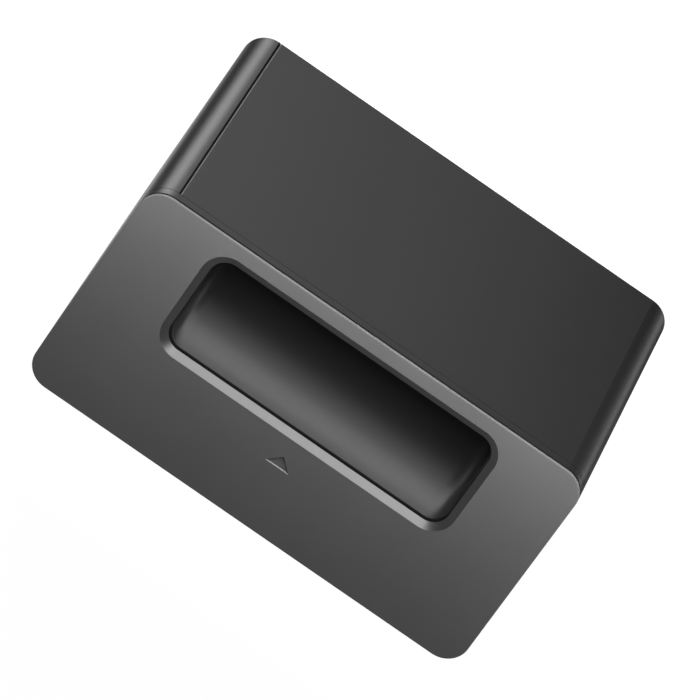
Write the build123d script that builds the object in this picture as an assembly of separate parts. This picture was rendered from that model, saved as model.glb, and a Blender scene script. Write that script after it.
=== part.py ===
from build123d import *
import os

# A drawer-like detergent tank: a dark box with a finger trough in its front panel,
# a welded cover on its left end, and its refill door, drain valve and air vent in the back wall.
# Millimetres. X to the right, Y from the front panel to the back wall, Z up, origin under the middle.

# Outer box
width = 128.0
depth = 106.0
height = 62.6
corner_radius = 6.6
wall = 2.2
back_edge_radius = 0.9

# Front panel
panel_thickness = 2.1
panel_flange = 0.55
panel_rebate = 1.2
panel_edge_radius = 0.4
fascia_above = 3.9
window_side = 21.2
window_height = 31.75
window_radius = 6.8
window_chamfer_width = 1.95
window_chamfer_depth = 1.1
window_relief = 0.6
mark_width = 7.0
mark_height = 3.4
mark_drop = 5.15
mark_depth = 0.3
mark_draft = 0.2
peg_radius = 1.5
peg_length = 3.0
peg_spacing = 58.0
peg_height = 13.0

# Carrier with the finger trough
carrier_thickness = 2.3
carrier_rim_rise = 0.8
carrier_rim_width = 1.0
nest_depth = 2.0
nest_gap = 0.15
front_seam = 0.2
front_seam_depth = 0.6
trough_reveal = 0.4
scoop_share = 0.85
scoop_lead_share = 0.57
trough_roof_radius = 6.0
trough_wall = 1.8
trough_lip_radius = 0.3
pocket_gap = 0.8

# Screws that hold the carrier to the tank
carrier_screw_inset_x = 14.5
carrier_screw_inset_z = 9.0
carrier_screw_radius = 1.25
carrier_screw_length = 9.0
carrier_head_radius = 2.6
carrier_head_height = 1.3
carrier_boss_wall = 2.0
screw_gap = 0.05
head_gap = 0.3
driver_slot_width = 0.8
driver_slot_depth = 0.7

# Left end cover
cover_width = 7.0
cover_seam = 0.45
cover_seam_depth = 0.9
cover_seam_bridge = 0.5
cover_seam_corner = 1.6
cover_edge_radius = 0.45
cover_lip_length = 3.0
cover_lip_thickness = 1.6
cover_lip_root = 2.0
cover_lip_gap = 0.1

# Refill door in the back wall
refill_inset_x = 48.0
door_width = 40.0
door_length = 25.5
door_thickness = 3.0
door_recess = 0.2
door_gap = 0.4
door_corner_radius = 3.0
door_edge_radius = 0.5
door_top_gap = 3.0
hinge_drop = 8.5
hinge_pin_radius = 0.75
hinge_pin_engagement = 1.8
hinge_pin_end_gap = 0.3
hinge_running_gap = 0.06
hinge_wall = 3.0
neck_drop = 13.5
neck_radius = 9.5
neck_length = 8.0
door_seal_radius = 11.5
door_seal_thickness = 0.9
door_seal_gap = 0.1
plug_length = 3.0
plug_root_gap = 0.3
plug_tip_gap = 0.9
notch_width = 14.0
notch_radius = 6.0
notch_depth = 3.0

# Drain valve in the back wall, sizes along the valve measured from the back face
valve_inset_x = 28.0
valve_z = 15.0
flange_length = 36.0
flange_height = 19.0
flange_thickness = 1.8
flange_recess = 0.2
flange_gap = 0.15
flange_edge_radius = 0.4
valve_screw_spacing = 28.0
valve_screw_radius = 1.1
valve_screw_head_radius = 2.1
valve_screw_head_height = 1.2
valve_screw_length = 8.0
valve_boss_wall = 2.0
barrel_radius = 7.0
barrel_gap = 0.1
barrel_length = 18.0
sleeve_length = 15.0
ring_radius = 0.8
ring_start = 4.6
ring_gap = 0.05
socket_radius = 4.0
socket_chamfer = 0.5
seat_depth = 8.0
seat_thickness = 2.0
seat_radius = 2.6
chamber_radius = 4.8
poppet_head_radius = 4.0
poppet_head_thickness = 2.2
poppet_nose_radius = 2.2
poppet_nose_recess = 0.2
poppet_stem_radius = 1.5
poppet_stem_length = 9.5
poppet_seal_thickness = 0.8
poppet_seal_edge = 0.2
spring_radius = 3.0
spring_wire_radius = 0.25
spring_turns = 4.5
cage_web = 1.5
cage_flange_radius = 6.6
cage_ring_length = 1.8
cage_ring_wall = 0.6
cage_ring_gap = 0.05
guide_gap = 0.08
guide_wall = 1.1
guide_length = 2.5
flow_hole_radius = 0.7
flow_hole_count = 6
spigot_radius = 5.6
spigot_wall = 1.2
spigot_length = 6.5

# Pickup elbow and strainer inside the tank
elbow_gap = 0.05
elbow_wall = 1.3
elbow_reach = 5.0
elbow_bore_radius = 4.2
elbow_start_gap = 1.0
leg_clearance = 2.8
strainer_wall = 1.6
strainer_floor = 0.8
strainer_height = 5.2
strainer_gap = 0.05
strainer_slot_width = 1.2
strainer_slot_count = 10

# Air vent in the back wall
vent_inset_x = 28.0
vent_drop = 14.5
vent_flange_radius = 6.0
vent_flange_thickness = 1.2
vent_edge_radius = 0.3
vent_recess = 0.2
vent_barrel_radius = 4.4
vent_barrel_length = 4.8
vent_gap = 0.05
vent_mouth_radius = 3.2
vent_web_depth = 3.0
vent_web = 1.2
vent_skirt_wall = 0.5
vent_hole_radius = 0.55
vent_hole_circle = 2.1
vent_hole_count = 6
umbrella_radius = 3.4
umbrella_rim = 0.5
umbrella_crown = 0.6
umbrella_stem_radius = 0.9
umbrella_bulb_radius = 1.3
umbrella_bulb_length = 1.4
umbrella_gap = 0.05

# Places worked out from the sizes above
stack = panel_thickness + carrier_thickness
seam_x = -width / 2 + cover_width
refill_x = -width / 2 + refill_inset_x
valve_x = width / 2 - valve_inset_x
vent_x = width / 2 - vent_inset_x
window_width = width - 2 * window_side
window_z = height - fascia_above - window_height / 2
trough_inset = window_chamfer_width + trough_reveal
trough_width = window_width - 2 * trough_inset
trough_low = window_z - window_height / 2 + trough_inset
trough_high = window_z + window_height / 2 - trough_inset
trough_corner_radius = window_radius - trough_inset
scoop_radius = scoop_share * (trough_high - trough_low)
scoop_y = -depth / 2 + panel_thickness - scoop_lead_share * scoop_radius
scoop_z = trough_low + scoop_radius * (1 - scoop_lead_share ** 2) ** 0.5
mark_top = window_z - window_height / 2 - mark_drop
screw_x = width / 2 - carrier_screw_inset_x
screw_places = [
    (side * screw_x, level)
    for side in (-1, 1)
    for level in (carrier_screw_inset_z, height - carrier_screw_inset_z)
]
side_peg_x = (window_width / 2 + width / 2) / 2
peg_places = [(side * peg_spacing / 2, peg_height) for side in (-1, 1)]
peg_places += [(side * side_peg_x, window_z) for side in (-1, 1)]
hinge_z = height - hinge_drop
hinge_depth = door_recess + door_thickness / 2
neck_z = hinge_z - neck_drop
door_low = hinge_z - door_length
door_pocket_depth = door_recess + door_thickness + door_seal_thickness + door_seal_gap
seat_end = seat_depth + seat_thickness
head_start = seat_end + poppet_seal_thickness
head_end = head_start + poppet_head_thickness
barrel_start = flange_recess + flange_thickness
barrel_end = barrel_start + barrel_length
pad_depth = barrel_start + wall
cage_end = barrel_end + cage_web
spigot_end = cage_end + spigot_length
elbow_depth = spigot_end + elbow_reach
leg_radius = elbow_bore_radius + elbow_wall
leg_end = wall + leg_clearance
vent_z = height - vent_drop
vent_web_end = vent_recess + vent_web_depth + vent_web
vent_barrel_start = vent_recess + vent_flange_thickness
vent_barrel_end = vent_barrel_start + vent_barrel_length
cavity_front = stack + nest_depth + wall


def front(distance):
    """Y at a distance behind the panel's front face."""
    return -depth / 2 + distance


def back(distance):
    """Y at a distance inside the back face."""
    return depth / 2 - distance


def section(profile, y):
    """A sketch drawn in X and Z, standing at one Y and facing the front."""
    return Plane(origin=(0, y, 0), x_dir=(1, 0, 0), z_dir=(0, -1, 0)) * profile


def slab(profile, y_low, y_high):
    """A sketch drawn in X and Z, extruded along Y."""
    return extrude(section(profile, y_high), amount=y_high - y_low)


def rod(x, z, radius, y_low, y_high):
    """A round bar along Y."""
    return slab(Pos(x, z) * Circle(radius), y_low, y_high)


def cone(x, z, radius_low, radius_high, y_low, y_high):
    """A tapered round bar along Y."""
    low = section(Pos(x, z) * Circle(radius_low), y_low)
    high = section(Pos(x, z) * Circle(radius_high), y_high)
    return loft([low, high])


def cross_bar(x_low, x_high, y, z, radius):
    """A round bar along X."""
    place = Plane(origin=(x_low, y, z), z_dir=(1, 0, 0))
    return extrude(place * Circle(radius), amount=x_high - x_low)


def block(x_low, x_high, y_low, y_high, z_low, z_high):
    """A plain box between two corners."""
    middle = Pos((x_low + x_high) / 2, (y_low + y_high) / 2, (z_low + z_high) / 2)
    return middle * Box(x_high - x_low, y_high - y_low, z_high - z_low)


def outline(inset):
    """The box's rounded outline seen from the front."""
    shape = RectangleRounded(width - 2 * inset, height - 2 * inset, corner_radius - inset)
    return Pos(0, height / 2) * shape


def window(inset):
    """The panel window's rounded outline."""
    shape = RectangleRounded(window_width - 2 * inset, window_height - 2 * inset, window_radius - inset)
    return Pos(0, window_z) * shape


def trough_form(grow):
    """The finger trough as a solid, a round scoop under a straight back, grown on all sides but its mouth."""
    mouth = front(panel_thickness)
    half = trough_width / 2 + grow
    radius = scoop_radius + grow
    rear = scoop_y + radius
    scoop = cross_bar(-half, half, scoop_y, scoop_z, radius)
    scoop &= block(-half, half, mouth, rear, scoop_z - radius, scoop_z)
    form = scoop + block(-half, half, mouth, rear, scoop_z, trough_high + grow)
    roof_edge = form.edges().filter_by(Axis.X).group_by(Axis.Z)[-1].sort_by(Axis.Y)[-1]
    form = fillet(roof_edge, trough_roof_radius + grow)
    ends = form.faces().filter_by(Axis.X)
    end_edges = [edge for end in ends for edge in end.edges().sort_by(Axis.Y)[1:]]
    return fillet(end_edges, trough_corner_radius + grow)


def driver_cross(x, z, y_low, y_high, reach):
    """The cross-shaped driver slot of a screw head."""
    half = driver_slot_width / 2
    flat = block(x - reach, x + reach, y_low, y_high, z - half, z + half)
    upright = block(x - half, x + half, y_low, y_high, z - reach, z + reach)
    return flat + upright


def make_front_panel():
    plate = slab(outline(0), front(0), front(panel_flange))
    plate = fillet(plate.faces().sort_by(Axis.Y)[0].edges(), panel_edge_radius)
    panel = plate + slab(outline(panel_rebate), front(panel_flange), front(panel_thickness))
    for x, z in peg_places:
        panel += rod(x, z, peg_radius, front(panel_thickness), front(panel_thickness + peg_length))
    bevel_floor = section(window(window_chamfer_width), front(window_chamfer_depth))
    bevel = loft([section(window(0), front(0)), bevel_floor])
    relief_outline = window(window_chamfer_width - window_relief)
    relief = slab(relief_outline, front(window_chamfer_depth), front(panel_thickness))
    half = mark_width / 2
    corners = [(-half, mark_top - mark_height), (half, mark_top - mark_height), (0, mark_top)]
    arrow = Polygon(*corners, align=None)
    arrow_floor = offset(arrow, amount=-mark_draft, kind=Kind.INTERSECTION)
    mark = loft([section(arrow, front(0)), section(arrow_floor, front(mark_depth))])
    return panel - bevel - relief - mark


def make_grip_carrier():
    rim_front = front(panel_thickness - carrier_rim_rise)
    plate = slab(outline(0), rim_front, front(stack))
    plate -= slab(outline(carrier_rim_width), rim_front, front(panel_thickness))
    seam = slab(outline(0), front(stack - front_seam), front(stack))
    plate -= seam - slab(outline(front_seam_depth), front(stack - front_seam), front(stack))
    plate += slab(outline(wall + nest_gap), front(stack), front(stack + nest_depth))
    carrier = plate + trough_form(trough_wall) - trough_form(0)
    head_seat = front(panel_thickness + carrier_head_height + head_gap)
    for x, z in screw_places:
        carrier -= rod(x, z, carrier_head_radius + head_gap, front(panel_thickness), head_seat)
        carrier -= rod(x, z, carrier_screw_radius + head_gap, head_seat, front(stack + nest_depth))
    for x, z in peg_places:
        carrier -= rod(x, z, peg_radius + screw_gap, front(panel_thickness), front(stack + nest_depth))
    panel_seat = carrier.faces().filter_by(Axis.Y).group_by(Axis.Y)[1].sort_by(SortBy.AREA)[-1]
    trough_mouth = panel_seat.inner_wires().sort_by(SortBy.LENGTH)[-1]
    return fillet(trough_mouth.edges(), trough_lip_radius)


def make_carrier_screws():
    seat = front(panel_thickness + carrier_head_height + head_gap)
    top = seat - carrier_head_height
    screws = []
    for x, z in screw_places:
        head = rod(x, z, carrier_head_radius, top, seat)
        head -= driver_cross(x, z, top, top + driver_slot_depth, carrier_head_radius / 2)
        screws.append(head + rod(x, z, carrier_screw_radius, seat, seat + carrier_screw_length))
    return Compound(screws)


def outer_box():
    box = slab(outline(0), front(stack), back(0))
    return fillet(box.faces().sort_by(Axis.Y)[-1].edges(), back_edge_radius)


def hollow_box():
    """Both halves of the welded tank before it is divided: walls, front nest and pocket for the trough."""
    nest = slab(outline(wall), front(stack), front(stack + nest_depth))
    cavity = slab(outline(wall), front(cavity_front), back(wall))
    pocket = trough_form(trough_wall + pocket_gap)
    pocket_wall = trough_form(trough_wall + pocket_gap + wall)
    pocket_wall &= slab(outline(wall / 2), front(stack + nest_depth), back(0))
    return outer_box() - nest - cavity + pocket_wall - pocket


def add_carrier_bosses(tank):
    face = front(stack + nest_depth)
    tip = front(panel_thickness + carrier_head_height + head_gap) + carrier_screw_length
    hole_radius = carrier_screw_radius + screw_gap
    for x, z in screw_places:
        tank += rod(x, z, hole_radius + carrier_boss_wall, face, tip + carrier_boss_wall)
    for x, z in screw_places:
        tank -= rod(x, z, hole_radius, face, tip + head_gap)
    return tank


def add_refill_mouth(tank):
    half = door_width / 2 + door_gap
    low = door_low - door_gap
    high = hinge_z + door_top_gap
    floor = back(door_pocket_depth)
    notch_low = low - notch_radius
    tank += block(refill_x - half - hinge_wall, refill_x + half + hinge_wall, floor - wall, back(wall / 2),
                  notch_low - wall, high + wall)
    tank += rod(refill_x, neck_z, neck_radius + wall, floor - neck_length, floor)
    pocket = block(refill_x - half, refill_x + half, floor, back(0), low, high)
    corners = pocket.edges().filter_by(Axis.Y).group_by(Axis.Z)[0]
    tank -= fillet(corners, door_corner_radius + door_gap)
    tank -= rod(refill_x, neck_z, neck_radius, floor - neck_length, floor)
    pin_reach = half + hinge_pin_engagement
    tank -= cross_bar(refill_x - pin_reach, refill_x + pin_reach, back(hinge_depth), hinge_z,
                      hinge_pin_radius + hinge_running_gap / 2)
    notch_y = back(notch_depth) + notch_radius
    notch_left = refill_x - notch_width / 2
    return tank - cross_bar(notch_left, notch_left + notch_width, notch_y, low, notch_radius)


def flange_outline(grow):
    shape = SlotOverall(flange_length + 2 * grow, flange_height + 2 * grow)
    return Pos(valve_x, valve_z) * shape


def valve_screw_places():
    return [valve_x + side * valve_screw_spacing / 2 for side in (-1, 1)]


def add_valve_mouth(tank):
    bore = barrel_radius + barrel_gap
    hole_radius = valve_screw_radius + screw_gap
    tip = flange_recess + valve_screw_length
    tank += slab(flange_outline(flange_gap + wall), back(pad_depth), back(wall / 2))
    tank += rod(valve_x, valve_z, bore + wall, back(barrel_start + sleeve_length), back(wall))
    for x in valve_screw_places():
        tank += rod(x, valve_z, hole_radius + valve_boss_wall, back(tip + valve_boss_wall), back(wall))
    tank -= slab(flange_outline(flange_gap), back(barrel_start), back(0))
    tank -= rod(valve_x, valve_z, bore, back(barrel_start + sleeve_length), back(0))
    for x in valve_screw_places():
        tank -= rod(x, valve_z, hole_radius, back(tip + head_gap), back(0))
    return tank


def add_vent_mouth(tank):
    hole = vent_barrel_radius + vent_gap
    recess = vent_flange_radius + flange_gap
    tank += rod(vent_x, vent_z, recess + wall, back(vent_barrel_start + wall), back(wall / 2))
    tank -= rod(vent_x, vent_z, recess, back(vent_barrel_start), back(0))
    return tank - rod(vent_x, vent_z, hole, back(vent_barrel_start + wall), back(0))


def make_tank_shell():
    tank = add_carrier_bosses(hollow_box())
    tank = add_refill_mouth(tank)
    tank = add_valve_mouth(tank)
    tank = add_vent_mouth(tank)
    tank &= block(seam_x, width / 2, front(stack), back(0), 0, height)
    seam_edges = tank.edges().filter_by(Axis.Y).group_by(Axis.X)[0].sort_by(Axis.Z)
    return fillet([seam_edges[0], seam_edges[-1]], cover_edge_radius)


def make_side_cover():
    cover = hollow_box() & block(-width / 2, seam_x, front(stack), back(0), 0, height)
    y_low = front(cavity_front) + cover_lip_gap
    y_high = back(wall) - cover_lip_gap
    z_low = wall + cover_lip_gap
    z_high = height - wall - cover_lip_gap
    lip_end = seam_x + cover_lip_length
    lip_start = seam_x - cover_lip_root
    lip = block(lip_start, lip_end, y_low, y_high, z_low, z_high)
    merge = 2 * cover_lip_gap
    lip += block(lip_start, seam_x, y_low - merge, y_high + merge, z_low - merge, z_high + merge)
    lip -= block(lip_start, lip_end, y_low + cover_lip_thickness, y_high - cover_lip_thickness,
                 z_low + cover_lip_thickness, z_high - cover_lip_thickness)
    groove_low = seam_x - cover_seam
    groove = block(groove_low, seam_x, front(stack), back(cover_seam_bridge), 0, height)
    groove -= slab(outline(cover_seam_depth), front(stack), back(cover_seam_bridge))
    back_high = height - cover_seam_corner
    groove += block(groove_low, seam_x, back(cover_seam_depth), back(0), cover_seam_corner, back_high)
    return cover + lip - groove


def make_refill_door():
    left = refill_x - door_width / 2
    right = left + door_width
    plate = block(left, right, back(door_recess + door_thickness), back(door_recess), door_low, hinge_z)
    plate = fillet(plate.edges().filter_by(Axis.Y).group_by(Axis.Z)[0], door_corner_radius)
    face_edges = plate.faces().sort_by(Axis.Y)[-1].edges().sort_by(Axis.Z)[:-1]
    plate = fillet(face_edges, door_edge_radius)
    axle = back(hinge_depth)
    door = plate + cross_bar(left, right, axle, hinge_z, door_thickness / 2)
    return door - cross_bar(left, right, axle, hinge_z, hinge_pin_radius + hinge_running_gap)


def make_refill_seal():
    face = back(door_recess + door_thickness)
    root = face - door_seal_thickness
    seal = rod(refill_x, neck_z, door_seal_radius, root, face)
    tip_radius = neck_radius - plug_tip_gap
    root_radius = neck_radius - plug_root_gap
    return seal + cone(refill_x, neck_z, tip_radius, root_radius, root - plug_length, root)


def make_refill_pin():
    reach = door_width / 2 + door_gap + hinge_pin_engagement - hinge_pin_end_gap
    return cross_bar(refill_x - reach, refill_x + reach, back(hinge_depth), hinge_z, hinge_pin_radius)


def make_valve_housing():
    housing = slab(flange_outline(0), back(barrel_start), back(flange_recess))
    housing = fillet(housing.faces().sort_by(Axis.Y)[-1].edges(), flange_edge_radius)
    housing += rod(valve_x, valve_z, barrel_radius, back(barrel_end), back(barrel_start))
    housing -= rod(valve_x, valve_z, socket_radius, back(seat_depth), back(0))
    housing -= cone(valve_x, valve_z, socket_radius, socket_radius + socket_chamfer,
                    back(flange_recess + socket_chamfer), back(flange_recess))
    housing -= rod(valve_x, valve_z, seat_radius, back(seat_end), back(seat_depth))
    housing -= rod(valve_x, valve_z, chamber_radius, back(barrel_end), back(seat_end))
    groove_end = ring_start + 2 * (ring_radius + ring_gap)
    groove = rod(valve_x, valve_z, barrel_radius, back(groove_end), back(ring_start))
    groove -= rod(valve_x, valve_z, barrel_radius - 2 * ring_radius, back(groove_end), back(ring_start))
    housing -= groove
    for x in valve_screw_places():
        head_bottom = back(flange_recess + valve_screw_head_height)
        housing -= cone(x, valve_z, valve_screw_radius + screw_gap, valve_screw_head_radius + screw_gap,
                        head_bottom, back(flange_recess))
        housing -= rod(x, valve_z, valve_screw_radius + screw_gap, back(barrel_start), head_bottom)
    return housing


def make_valve_ring():
    middle = back(ring_start + ring_radius + ring_gap)
    place = Plane(origin=(valve_x, middle, valve_z), z_dir=(0, 1, 0))
    return place * Torus(barrel_radius - ring_radius + ring_gap, ring_radius)


def make_valve_screws():
    top = back(flange_recess)
    head_bottom = top - valve_screw_head_height
    screws = []
    for x in valve_screw_places():
        screw = cone(x, valve_z, valve_screw_radius, valve_screw_head_radius, head_bottom, top)
        screw += rod(x, valve_z, valve_screw_radius, top - valve_screw_length, head_bottom)
        screw -= driver_cross(x, valve_z, top - driver_slot_depth, top, valve_screw_head_radius / 2)
        screws.append(screw)
    return Compound(screws)


def make_valve_poppet():
    nose_start = seat_depth + poppet_nose_recess
    poppet = rod(valve_x, valve_z, poppet_nose_radius, back(head_start), back(nose_start))
    poppet += rod(valve_x, valve_z, poppet_head_radius, back(head_end), back(head_start))
    stem_end = head_end + poppet_stem_length
    return poppet + rod(valve_x, valve_z, poppet_stem_radius, back(stem_end), back(head_end))


def make_poppet_seal():
    seal = rod(valve_x, valve_z, poppet_head_radius - poppet_seal_edge, back(head_start), back(seat_end))
    return seal - rod(valve_x, valve_z, poppet_nose_radius, back(head_start), back(seat_end))


def make_valve_spring():
    length = barrel_end - head_end - 2 * spring_wire_radius
    start = (valve_x, back(head_end + spring_wire_radius), valve_z)
    coil = Helix(length / spring_turns, length, spring_radius, center=start, direction=(0, -1, 0))
    wire = Plane(origin=coil @ 0, z_dir=coil % 0) * Circle(spring_wire_radius)
    return sweep(wire, path=coil, is_frenet=True)


def make_valve_cage():
    stem_hole = poppet_stem_radius + guide_gap
    ring_outer = chamber_radius - cage_ring_gap
    ring_tip = back(barrel_end - cage_ring_length)
    cage = rod(valve_x, valve_z, cage_flange_radius, back(cage_end), back(barrel_end))
    ring = rod(valve_x, valve_z, ring_outer, back(barrel_end), ring_tip)
    ring -= rod(valve_x, valve_z, ring_outer - cage_ring_wall, back(barrel_end), ring_tip)
    spigot = rod(valve_x, valve_z, spigot_radius, back(spigot_end), back(cage_end))
    spigot -= rod(valve_x, valve_z, spigot_radius - spigot_wall, back(spigot_end), back(cage_end))
    guide = rod(valve_x, valve_z, stem_hole + guide_wall, back(cage_end + guide_length), back(cage_end))
    cage += ring + spigot + guide
    cage -= rod(valve_x, valve_z, stem_hole, back(cage_end + guide_length), back(barrel_end))
    flow_circle = (stem_hole + guide_wall + spigot_radius - spigot_wall) / 2
    for spot in PolarLocations(flow_circle, flow_hole_count):
        hole = spot.position
        cage -= rod(valve_x + hole.X, valve_z + hole.Y, flow_hole_radius, back(cage_end), back(barrel_end))
    return cage


def make_pickup_elbow():
    socket = spigot_radius + elbow_gap
    start = cage_end + elbow_start_gap
    corner = Pos(valve_x, back(elbow_depth), valve_z)
    leg_length = valve_z - leg_end
    leg_place = Pos(valve_x, back(elbow_depth), valve_z - leg_length / 2)
    elbow = rod(valve_x, valve_z, socket + elbow_wall, back(spigot_end + elbow_wall), back(start))
    elbow += rod(valve_x, valve_z, leg_radius, back(elbow_depth), back(spigot_end))
    elbow += corner * Sphere(leg_radius)
    elbow += leg_place * Cylinder(leg_radius, leg_length)
    elbow -= rod(valve_x, valve_z, socket, back(spigot_end), back(start))
    elbow -= rod(valve_x, valve_z, elbow_bore_radius, back(elbow_depth), back(spigot_end))
    elbow -= corner * Sphere(elbow_bore_radius)
    return elbow - leg_place * Cylinder(elbow_bore_radius, leg_length)


def make_pickup_strainer():
    bore = leg_radius + strainer_gap
    base = Pos(valve_x, back(elbow_depth), wall)
    stand = (Align.CENTER, Align.CENTER, Align.MIN)
    cup = Cylinder(bore + strainer_wall, strainer_height, align=stand)
    cup -= Pos(0, 0, strainer_floor) * Cylinder(bore, strainer_height - strainer_floor, align=stand)
    slot_height = leg_clearance - strainer_floor
    slot = Pos(0, 0, strainer_floor) * Box(bore + strainer_wall, strainer_slot_width, slot_height,
                                            align=(Align.MIN, Align.CENTER, Align.MIN))
    for index in range(strainer_slot_count):
        cup -= Rot(0, 0, 360 * index / strainer_slot_count) * slot
    return base * cup


def make_vent_insert():
    skirt = vent_barrel_radius - vent_skirt_wall
    web_end = back(vent_web_end)
    insert = rod(vent_x, vent_z, vent_flange_radius, back(vent_barrel_start), back(vent_recess))
    insert = fillet(insert.faces().sort_by(Axis.Y)[-1].edges(), vent_edge_radius)
    insert += rod(vent_x, vent_z, vent_barrel_radius, back(vent_barrel_end), back(vent_barrel_start))
    insert -= rod(vent_x, vent_z, vent_mouth_radius, back(vent_recess + vent_web_depth), back(vent_recess))
    insert -= rod(vent_x, vent_z, skirt, back(vent_barrel_end), web_end)
    insert -= rod(vent_x, vent_z, umbrella_stem_radius + umbrella_gap, web_end, back(vent_recess))
    for spot in PolarLocations(vent_hole_circle, vent_hole_count):
        hole = spot.position
        insert -= rod(vent_x + hole.X, vent_z + hole.Y, vent_hole_radius, web_end, back(vent_recess))
    return insert


def make_vent_umbrella():
    web_face = vent_recess + vent_web_depth
    stem_start = web_face - umbrella_gap
    rim_end = vent_web_end + umbrella_rim
    umbrella = rod(vent_x, vent_z, umbrella_radius, back(rim_end), back(vent_web_end))
    crown_end = rim_end + umbrella_crown
    umbrella += cone(vent_x, vent_z, umbrella_bulb_radius, umbrella_radius, back(crown_end), back(rim_end))
    umbrella += rod(vent_x, vent_z, umbrella_stem_radius, back(vent_web_end), back(stem_start))
    bulb = cone(vent_x, vent_z, umbrella_bulb_radius, umbrella_stem_radius, back(stem_start),
                back(stem_start - umbrella_bulb_length))
    return umbrella + bulb


MAKERS = {
    "front_panel": make_front_panel,
    "grip_carrier": make_grip_carrier,
    "carrier_screws": make_carrier_screws,
    "tank_shell": make_tank_shell,
    "side_cover": make_side_cover,
    "refill_door": make_refill_door,
    "refill_door_seal": make_refill_seal,
    "refill_hinge_pin": make_refill_pin,
    "valve_housing": make_valve_housing,
    "valve_housing_ring": make_valve_ring,
    "valve_screws": make_valve_screws,
    "valve_poppet": make_valve_poppet,
    "valve_poppet_seal": make_poppet_seal,
    "valve_spring": make_valve_spring,
    "valve_cage": make_valve_cage,
    "pickup_elbow": make_pickup_elbow,
    "pickup_strainer": make_pickup_strainer,
    "vent_insert": make_vent_insert,
    "vent_umbrella": make_vent_umbrella,
}

os.makedirs("parts", exist_ok=True)
for node, maker in MAKERS.items():
    export_step(maker(), f"parts/{node}.step")
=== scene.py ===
import math

import bpy
from mathutils import Matrix, Vector


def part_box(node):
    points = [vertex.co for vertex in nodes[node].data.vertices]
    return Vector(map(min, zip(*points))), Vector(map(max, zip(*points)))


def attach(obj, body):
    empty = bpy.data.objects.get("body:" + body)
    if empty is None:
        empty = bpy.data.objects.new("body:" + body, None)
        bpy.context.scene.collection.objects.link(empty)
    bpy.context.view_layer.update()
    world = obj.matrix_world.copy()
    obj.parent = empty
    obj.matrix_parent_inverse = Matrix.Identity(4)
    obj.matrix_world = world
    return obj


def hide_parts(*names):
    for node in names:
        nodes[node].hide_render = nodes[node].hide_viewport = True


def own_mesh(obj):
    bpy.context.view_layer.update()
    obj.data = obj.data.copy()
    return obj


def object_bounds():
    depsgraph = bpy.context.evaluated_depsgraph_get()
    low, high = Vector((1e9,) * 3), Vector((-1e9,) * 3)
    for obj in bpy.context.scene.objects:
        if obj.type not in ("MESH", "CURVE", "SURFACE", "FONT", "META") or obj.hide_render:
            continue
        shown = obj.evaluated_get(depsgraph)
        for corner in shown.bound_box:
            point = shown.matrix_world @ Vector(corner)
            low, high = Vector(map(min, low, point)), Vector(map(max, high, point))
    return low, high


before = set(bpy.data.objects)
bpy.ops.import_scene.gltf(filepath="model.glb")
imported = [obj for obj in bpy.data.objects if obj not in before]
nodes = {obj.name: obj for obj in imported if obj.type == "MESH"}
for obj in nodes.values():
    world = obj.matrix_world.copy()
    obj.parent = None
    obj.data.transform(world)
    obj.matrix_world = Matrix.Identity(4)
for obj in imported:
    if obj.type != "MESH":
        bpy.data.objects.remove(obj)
cad_low, cad_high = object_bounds()

MM = 0.001
WHITE = (1.0, 1.0, 1.0, 1.0)

# Camera: the photograph's viewing angle, with its roll, in degrees. The lens and the sensor are in
# Blender's millimetres. The aim point lies in the front panel's plane.
CAMERA_AZIMUTH = -2.4066
CAMERA_ELEVATION = 27.1208
CAMERA_ROLL = 35.6702
CAMERA_DISTANCE = 1871.9 * MM
CAMERA_LENS = 399.58
CAMERA_SENSOR = 36.0
CLIP_NEAR, CLIP_FAR = 0.05, 20.0
AIM_X = -2.1034 * MM
AIM_Z = 56.1051 * MM

# Where the front panel's materials change: the chamfer round its window, and its mark. The normals
# tell the panel's face, and the mark's lower wall, from the faces beside them.
PANEL_FACE = cad_low.y
FACE_NORMAL_Y = -0.97
BEVEL_DEPTH = 1.3 * MM
WINDOW_REACH = 50.0 * MM
WINDOW_LOW, WINDOW_HIGH = 26.0 * MM, 60.0 * MM
MARK_REACH = 5.0 * MM
MARK_LOW, MARK_HIGH = 17.0 * MM, 23.0 * MM
# Mark faces whose normal rises more than this take a painted highlight.
MARK_WALL_NORMAL_Z = 0.3
# The window's walls behind the chamfer and the mark's upper walls take a near-black painted shade.
SATIN, BEVEL, PAINTED_HIGHLIGHT, RECESS_SHADE = range(4)

# The groove between the end cover and the box, along X
SEAM_LOW, SEAM_HIGH = -57.46 * MM, -56.995 * MM
# Painted shade: the seam's walls and floor take a near-black colour that stands in for the shadow
# in it.
ETCHED, GROOVE_SHADE = range(2)

# Surfaces: how far the tone takes to change, and how grain acts on gloss and bump
MOTTLE_SIZE = 14.0 * MM
MOTTLE_DETAIL = 3.0
GRAIN_DETAIL = 2.0
GLOSS_SPREAD = 0.05
BUMP_STRENGTH = 0.5

# Natural plastic: its grain, and how much light goes in, for red, green and blue
MILKY_GRAIN_SIZE = 0.5 * MM
MILKY_GRAIN_HEIGHT = 0.004 * MM
MILKY_MOTTLE = 0.04
MILKY_WEIGHT = 0.25
MILKY_RADIUS = (1.0, 0.95, 0.85)

# Drawn steel: fine lines, drawn out along Y
LINE_WIDTH = 0.12 * MM
LINE_SCALE = (1.0, 0.04, 1.0)
LINE_HEIGHT = 0.003 * MM
STEEL_MOTTLE = 0.05
STEEL_GLOSS_SPREAD = 0.08

# Valve spring
WIRE_RADIUS = 0.25 * MM
SPRING_TURNS = 4.5
RINGS_PER_TURN = 32
WIRE_SIDES = 12

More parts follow.
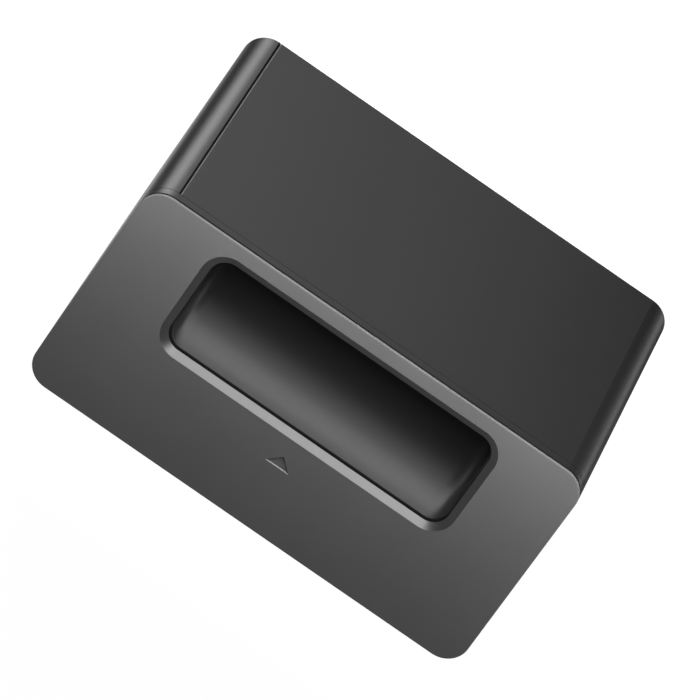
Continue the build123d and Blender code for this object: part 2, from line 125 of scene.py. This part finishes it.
# Floor, just below the object. Glossy rays see a small share of its white, and more of it in a pool
# behind the object.
FLOOR_RADIUS = 0.45
FLOOR_SIDES = 128
FLOOR_COLOUR = (0.12, 0.12, 0.12, 1.0)
FLOOR_ROUGHNESS = 0.9
FLOOR_GLOW = 0.97
FLOOR_DROP = 0.3 * MM
GLOSSY_SHARE = 0.02
GLOSSY_POOL = 0.30
POOL_MIDDLE_Y = 75.0 * MM
POOL_NEAR, POOL_FAR = 70.0 * MM, 150.0 * MM

# Lamps, in metres: middle, point aimed at, width and length, brightness
AMBIENT_LEVEL = 0.03
BOX_AIM = (0.0, 0.0, 0.06)
TROUGH_AIM = (0.0, -0.045, 0.045)
SOFTBOXES = {
    "front_near": ((0.01, -0.103, 0.118), (0.01, -0.053, 0.118), (0.50, 0.06), 3.90),
    "front_upper": ((0.01, -0.103, 0.190), (0.01, -0.053, 0.190), (0.50, 0.06), 8.00),
    "front_far": ((0.10, -0.92, 0.50), TROUGH_AIM, (0.60, 0.25), 1.40),
    "floor_front": ((0.00, -0.17, 0.002), (0.0, -0.17, 0.5), (0.40, 0.20), 0.03),
    "back_left": ((-0.36, 0.60, 0.33), BOX_AIM, (0.32, 0.25), 4.06),
    "back_inner": ((-0.17, 0.60, 0.33), BOX_AIM, (0.10, 0.25), 1.60),
    "back_middle": ((-0.07, 0.60, 0.33), BOX_AIM, (0.10, 0.25), 0.68),
    "back_centre": ((0.03, 0.60, 0.33), BOX_AIM, (0.10, 0.25), 0.52),
    "floor_near_left": ((-0.098, 0.13, 0.002), (-0.098, 0.13, 0.5), (0.06, 0.30), 0.60),
    "back_right": ((0.35, 0.60, 0.06), BOX_AIM, (0.30, 0.08), 1.60),
    "overhead": ((0.00, 0.05, 1.00), BOX_AIM, (0.60, 0.60), 0.60),
    "left_fill": ((-0.30, -0.02, 0.030), (0.0, -0.02, 0.030), (0.25, 0.058), 4.00),
    "right_fill": ((0.30, -0.02, 0.030), (0.0, -0.02, 0.030), (0.25, 0.058), 4.00),
    "back_fill": ((0.00, 0.20, 0.030), (0.0, 0.0, 0.030), (0.12, 0.058), 6.50),
}


def place_camera():
    """The photograph's camera, turned by its roll about the line of sight."""
    azimuth = math.radians(CAMERA_AZIMUTH)
    elevation = math.radians(CAMERA_ELEVATION)
    roll = math.radians(CAMERA_ROLL)
    back = Vector((
        math.sin(azimuth) * math.cos(elevation),
        -math.cos(azimuth) * math.cos(elevation),
        math.sin(elevation),
    ))
    level = Vector((math.cos(azimuth), math.sin(azimuth), 0.0))
    upright = back.cross(level)
    side = math.cos(roll) * level + math.sin(roll) * upright
    top = math.cos(roll) * upright - math.sin(roll) * level
    aim = Vector((AIM_X, cad_low.y, AIM_Z))
    data = bpy.data.cameras.new("camera")
    data.sensor_width = CAMERA_SENSOR
    data.lens = CAMERA_LENS
    data.clip_start = CLIP_NEAR
    data.clip_end = CLIP_FAR
    camera = bpy.data.objects.new("camera", data)
    turn = Matrix((side, top, back)).transposed().to_4x4()
    camera.matrix_world = Matrix.Translation(aim + back * CAMERA_DISTANCE) @ turn
    bpy.context.scene.collection.objects.link(camera)
    bpy.context.scene.camera = camera


def new_material(name):
    """A material with only a shader and its output, and its node tree and shader."""
    material = bpy.data.materials.new(name)
    material.use_nodes = True
    tree = material.node_tree
    tree.nodes.clear()
    output = tree.nodes.new("ShaderNodeOutputMaterial")
    shader = tree.nodes.new("ShaderNodeBsdfPrincipled")
    tree.links.new(shader.outputs["BSDF"], output.inputs["Surface"])
    return material, tree, shader


def noise(tree, vector, size, detail):
    """Noise whose blobs are about size across."""
    node = tree.nodes.new("ShaderNodeTexNoise")
    node.inputs["Scale"].default_value = 1.0 / size
    node.inputs["Detail"].default_value = detail
    tree.links.new(vector, node.inputs["Vector"])
    return node


def vary_tone(tree, shader, place, colour, mottle):
    """Slow changes of tone over the surface."""
    slow = noise(tree, place.outputs["Object"], MOTTLE_SIZE, MOTTLE_DETAIL)
    tone = tree.nodes.new("ShaderNodeMix")
    tone.data_type = "RGBA"
    tone.inputs["A"].default_value = (*[c * (1 - mottle) for c in colour], 1.0)
    tone.inputs["B"].default_value = (*[c * (1 + mottle) for c in colour], 1.0)
    tree.links.new(slow.outputs["Fac"], tone.inputs["Factor"])
    tree.links.new(tone.outputs["Result"], shader.inputs["Base Color"])


def vary_gloss(tree, shader, grain, roughness, spread):
    """Roughness that follows the grain."""
    gloss = tree.nodes.new("ShaderNodeMapRange")
    gloss.inputs["To Min"].default_value = roughness - spread
    gloss.inputs["To Max"].default_value = roughness + spread
    tree.links.new(grain.outputs["Fac"], gloss.inputs["Value"])
    tree.links.new(gloss.outputs["Result"], shader.inputs["Roughness"])


def raise_grain(tree, shader, grain, height):
    """Bump from the grain."""
    bump = tree.nodes.new("ShaderNodeBump")
    bump.inputs["Strength"].default_value = BUMP_STRENGTH
    bump.inputs["Distance"].default_value = height
    tree.links.new(grain.outputs["Fac"], bump.inputs["Height"])
    tree.links.new(bump.outputs["Normal"], shader.inputs["Normal"])


def moulded(name, colour, roughness, grain_size, grain_height,
            specular=0.5, mottle=0.06, metallic=0.0):
    """A moulded or coated surface: a fine etched grain, with slow changes of tone and gloss."""
    material, tree, shader = new_material(name)
    place = tree.nodes.new("ShaderNodeTexCoord")
    shader.inputs["Specular IOR Level"].default_value = specular
    shader.inputs["Metallic"].default_value = metallic
    vary_tone(tree, shader, place, colour, mottle)
    grain = noise(tree, place.outputs["Object"], grain_size, GRAIN_DETAIL)
    vary_gloss(tree, shader, grain, roughness, GLOSS_SPREAD)
    raise_grain(tree, shader, grain, grain_height)
    return material


def milky(name, colour, roughness, depth):
    """Natural, unpigmented plastic: light goes a little way in."""
    material = moulded(name, colour, roughness, MILKY_GRAIN_SIZE, MILKY_GRAIN_HEIGHT,
                       mottle=MILKY_MOTTLE)
    shader = material.node_tree.nodes["Principled BSDF"]
    shader.inputs["Subsurface Weight"].default_value = MILKY_WEIGHT
    shader.inputs["Subsurface Radius"].default_value = MILKY_RADIUS
    shader.inputs["Subsurface Scale"].default_value = depth
    return material


def drawn_steel(name, colour, roughness):
    """Stainless steel with fine lines along its length."""
    material, tree, shader = new_material(name)
    place = tree.nodes.new("ShaderNodeTexCoord")
    stretch = tree.nodes.new("ShaderNodeMapping")
    stretch.inputs["Scale"].default_value = LINE_SCALE
    tree.links.new(place.outputs["Object"], stretch.inputs["Vector"])
    lines = noise(tree, stretch.outputs["Vector"], LINE_WIDTH, GRAIN_DETAIL)
    shader.inputs["Metallic"].default_value = 1.0
    vary_tone(tree, shader, place, colour, STEEL_MOTTLE)
    vary_gloss(tree, shader, lines, roughness, STEEL_GLOSS_SPREAD)
    raise_grain(tree, shader, lines, LINE_HEIGHT)
    return material


def assign(node, *materials):
    """Give a CAD node these materials in place of its own."""
    mesh = nodes[node].data
    mesh.materials.clear()
    for material in materials:
        mesh.materials.append(material)


def divide_faces(node, choose):
    """Give each face the material whose place in the list a rule picks."""
    for face in nodes[node].data.polygons:
        face.material_index = choose(face)


def panel_part(face):
    """Which of the panel's materials a face takes. The mark's lower wall takes a painted highlight;
    its other walls, and the window's walls behind the chamfer, take painted shade.
    """
    across = abs(face.center.x)
    up = face.center.z
    if face.normal.y < FACE_NORMAL_Y:
        return SATIN
    if across < MARK_REACH and MARK_LOW < up < MARK_HIGH:
        # The mark's upward-facing wall takes a painted highlight, and its other walls take painted
        # shade.
        return PAINTED_HIGHLIGHT if face.normal.z > MARK_WALL_NORMAL_Z else RECESS_SHADE
    if across < WINDOW_REACH and WINDOW_LOW < up < WINDOW_HIGH:
        # Behind the chamfer, the window's walls take painted shade.
        return BEVEL if face.center.y < PANEL_FACE + BEVEL_DEPTH else RECESS_SHADE
    return SATIN


def seam_part(face):
    """The walls and floor of the seam take a near-black painted shade, and the rest of the shell is
    etched.
    """
    return GROOVE_SHADE if SEAM_LOW < face.center.x < SEAM_HIGH else ETCHED


def make_materials():
    """Dress every CAD node. Returns the steel, which the spring's coil shares."""
    panel = moulded("panel_satin", (0.165, 0.165, 0.166), 0.50, 0.30 * MM, 0.004 * MM,
                    specular=0.25)
    bevel = moulded("panel_bevel", (0.40, 0.40, 0.402), 0.30, 0.30 * MM, 0.002 * MM,
                    metallic=1.0)
    # Painted highlight: a light grey on the mark's lower wall, standing in for the light it
    # catches.
    painted_highlight = moulded("mark_painted_highlight", (0.35, 0.35, 0.352), 0.45, 0.20 * MM, 0.002 * MM)
    shell = moulded("shell_etched", (0.016, 0.016, 0.0165), 0.36, 0.35 * MM, 0.005 * MM)
    # Painted shade: near-black for the seam's walls and floor and for the front panel's recesses,
    # standing in for their shadow.
    shade_dark = moulded("painted_shade_dark", (0.012, 0.012, 0.012), 0.70, 0.20 * MM, 0.004 * MM,
                     specular=0.25)
    door = moulded("door_satin", (0.020, 0.020, 0.0205), 0.44, 0.30 * MM, 0.005 * MM)
    rubber = moulded("silicone", (0.014, 0.014, 0.014), 0.62, 0.25 * MM, 0.006 * MM,
                     specular=0.4, mottle=0.12)
    acetal = milky("natural_acetal", (0.60, 0.60, 0.575), 0.36, 1.2 * MM)
    pickup = milky("natural_polypropylene", (0.50, 0.51, 0.50), 0.44, 2.0 * MM)
    steel = drawn_steel("stainless", (0.55, 0.55, 0.56), 0.28)
    assign("front_panel", panel, bevel, painted_highlight, shade_dark)
    divide_faces("front_panel", panel_part)
    for node in ("tank_shell", "side_cover"):
        assign(node, shell, shade_dark)
        divide_faces(node, seam_part)
    assign("grip_carrier", shell)
    assign("refill_door", door)
    for node in ("valve_housing", "valve_poppet", "valve_cage", "vent_insert"):
        assign(node, acetal)
    for node in ("pickup_elbow", "pickup_strainer"):
        assign(node, pickup)
    for node in ("refill_door_seal", "valve_housing_ring", "valve_poppet_seal", "vent_umbrella"):
        assign(node, rubber)
    for node in ("carrier_screws", "valve_screws", "refill_hinge_pin", "valve_spring"):
        assign(node, steel)
    return steel


def coil_mesh(name, low, high):
    """A closed tube of wire, coiled along Y inside the box between two corners."""
    centre_x = (low.x + high.x) / 2
    centre_z = (low.z + high.z) / 2
    radius = (high.x - low.x) / 2 - WIRE_RADIUS
    run = high.y - low.y - 2 * WIRE_RADIUS
    rings = round(SPRING_TURNS * RINGS_PER_TURN)
    points = []
    for ring in range(rings + 1):
        angle = 2 * math.pi * ring / RINGS_PER_TURN
        outward = Vector((math.cos(angle), 0.0, math.sin(angle)))
        axis_y = low.y + WIRE_RADIUS + run * ring / rings
        middle = Vector((centre_x, axis_y, centre_z)) + outward * radius
        for side in range(WIRE_SIDES):
            turn = 2 * math.pi * side / WIRE_SIDES
            spoke = outward * math.cos(turn) + Vector((0.0, math.sin(turn), 0.0))
            points.append(middle + WIRE_RADIUS * spoke)
    faces = []
    for ring in range(rings):
        for side in range(WIRE_SIDES):
            first = ring * WIRE_SIDES + side
            second = ring * WIRE_SIDES + (side + 1) % WIRE_SIDES
            faces.append((first, second, second + WIRE_SIDES, first + WIRE_SIDES))
    last = rings * WIRE_SIDES
    faces.append(tuple(reversed(range(WIRE_SIDES))))
    faces.append(tuple(last + side for side in range(WIRE_SIDES)))
    mesh = bpy.data.meshes.new(name)
    mesh.from_pydata(points, [], faces)
    mesh.polygons.foreach_set("use_smooth", [True] * (len(faces) - 2) + [False, False])
    mesh.update()
    return mesh


def make_spring(steel):
    """A coil of wire in the CAD spring's place, on the tank's body, with the CAD spring hidden."""
    low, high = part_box("valve_spring")
    mesh = coil_mesh("valve_spring_coil", low, high)
    mesh.materials.append(steel)
    coil = bpy.data.objects.new("valve_spring_coil", mesh)
    bpy.context.scene.collection.objects.link(coil)
    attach(coil, "tank")
    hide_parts("valve_spring")
    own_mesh(coil)


def math_node(tree, operation, first, second):
    """The output of an operation on two values, each a socket or a number."""
    node = tree.nodes.new("ShaderNodeMath")
    node.operation = operation
    for place, value in enumerate((first, second)):
        if isinstance(value, (int, float)):
            node.inputs[place].default_value = value
        else:
            tree.links.new(value, node.inputs[place])
    return node.outputs[0]


def sees_white(tree, path):
    """1 for rays from the camera or through glass."""
    camera = path.outputs["Is Camera Ray"]
    return math_node(tree, "MAXIMUM", camera, path.outputs["Is Transmission Ray"])


def floor_glow(tree):
    """White for the camera or through glass, and dim in gloss apart from the pool."""
    path = tree.nodes.new("ShaderNodeLightPath")
    place = tree.nodes.new("ShaderNodeTexCoord")
    distance = tree.nodes.new("ShaderNodeVectorMath")
    distance.operation = "DISTANCE"
    distance.inputs[1].default_value = (0.0, POOL_MIDDLE_Y, 0.0)
    tree.links.new(place.outputs["Object"], distance.inputs[0])
    share = tree.nodes.new("ShaderNodeMapRange")
    share.interpolation_type = "SMOOTHSTEP"
    share.inputs["From Min"].default_value = POOL_NEAR
    share.inputs["From Max"].default_value = POOL_FAR
    share.inputs["To Min"].default_value = GLOSSY_POOL
    share.inputs["To Max"].default_value = GLOSSY_SHARE
    tree.links.new(distance.outputs["Value"], share.inputs["Value"])
    gloss = math_node(tree, "MULTIPLY", path.outputs["Is Glossy Ray"], share.outputs["Result"])
    seen = math_node(tree, "MAXIMUM", sees_white(tree, path), gloss)
    return math_node(tree, "MULTIPLY", seen, FLOOR_GLOW)


def make_floor():
    """A round floor that shows white and lights the object only a little."""
    bpy.ops.mesh.primitive_circle_add(vertices=FLOOR_SIDES, radius=FLOOR_RADIUS,
                                      fill_type="NGON", location=(0, 0, -FLOOR_DROP))
    floor = bpy.context.object
    floor.name = "floor"
    material, tree, shader = new_material("pale_floor")
    shader.inputs["Base Color"].default_value = FLOOR_COLOUR
    shader.inputs["Roughness"].default_value = FLOOR_ROUGHNESS
    shader.inputs["Specular IOR Level"].default_value = 0.0
    shader.inputs["Emission Color"].default_value = WHITE
    tree.links.new(floor_glow(tree), shader.inputs["Emission Strength"])
    floor.data.materials.append(material)


def background(tree, strength):
    """A white background shader of this strength."""
    node = tree.nodes.new("ShaderNodeBackground")
    node.inputs["Color"].default_value = WHITE
    node.inputs["Strength"].default_value = strength
    return node


def make_world():
    """White for the camera or through glass, and a dim ambient light for the rest."""
    world = bpy.data.worlds.new("studio")
    world.use_nodes = True
    tree = world.node_tree
    tree.nodes.clear()
    output = tree.nodes.new("ShaderNodeOutputWorld")
    mix = tree.nodes.new("ShaderNodeMixShader")
    path = tree.nodes.new("ShaderNodeLightPath")
    tree.links.new(sees_white(tree, path), mix.inputs["Fac"])
    tree.links.new(background(tree, AMBIENT_LEVEL).outputs[0], mix.inputs[1])
    tree.links.new(background(tree, 1.0).outputs[0], mix.inputs[2])
    tree.links.new(mix.outputs[0], output.inputs["Surface"])
    bpy.context.scene.world = world


def softbox(name, centre, aim, size, brightness):
    """A rectangular lamp that looks as bright as a card of that radiance."""
    data = bpy.data.lights.new(name, "AREA")
    data.shape = "RECTANGLE"
    data.size, data.size_y = size
    data.energy = brightness * math.pi * size[0] * size[1]
    lamp = bpy.data.objects.new(name, data)
    lamp.location = centre
    lamp.rotation_euler = (Vector(aim) - Vector(centre)).to_track_quat("-Z", "Y").to_euler()
    lamp.visible_camera = False
    bpy.context.scene.collection.objects.link(lamp)


place_camera()
make_spring(make_materials())
make_floor()
make_world()
for name, (centre, aim, size, brightness) in SOFTBOXES.items():
    softbox(name, centre, aim, size, brightness)
bpy.context.scene.view_settings.view_transform = "Standard"
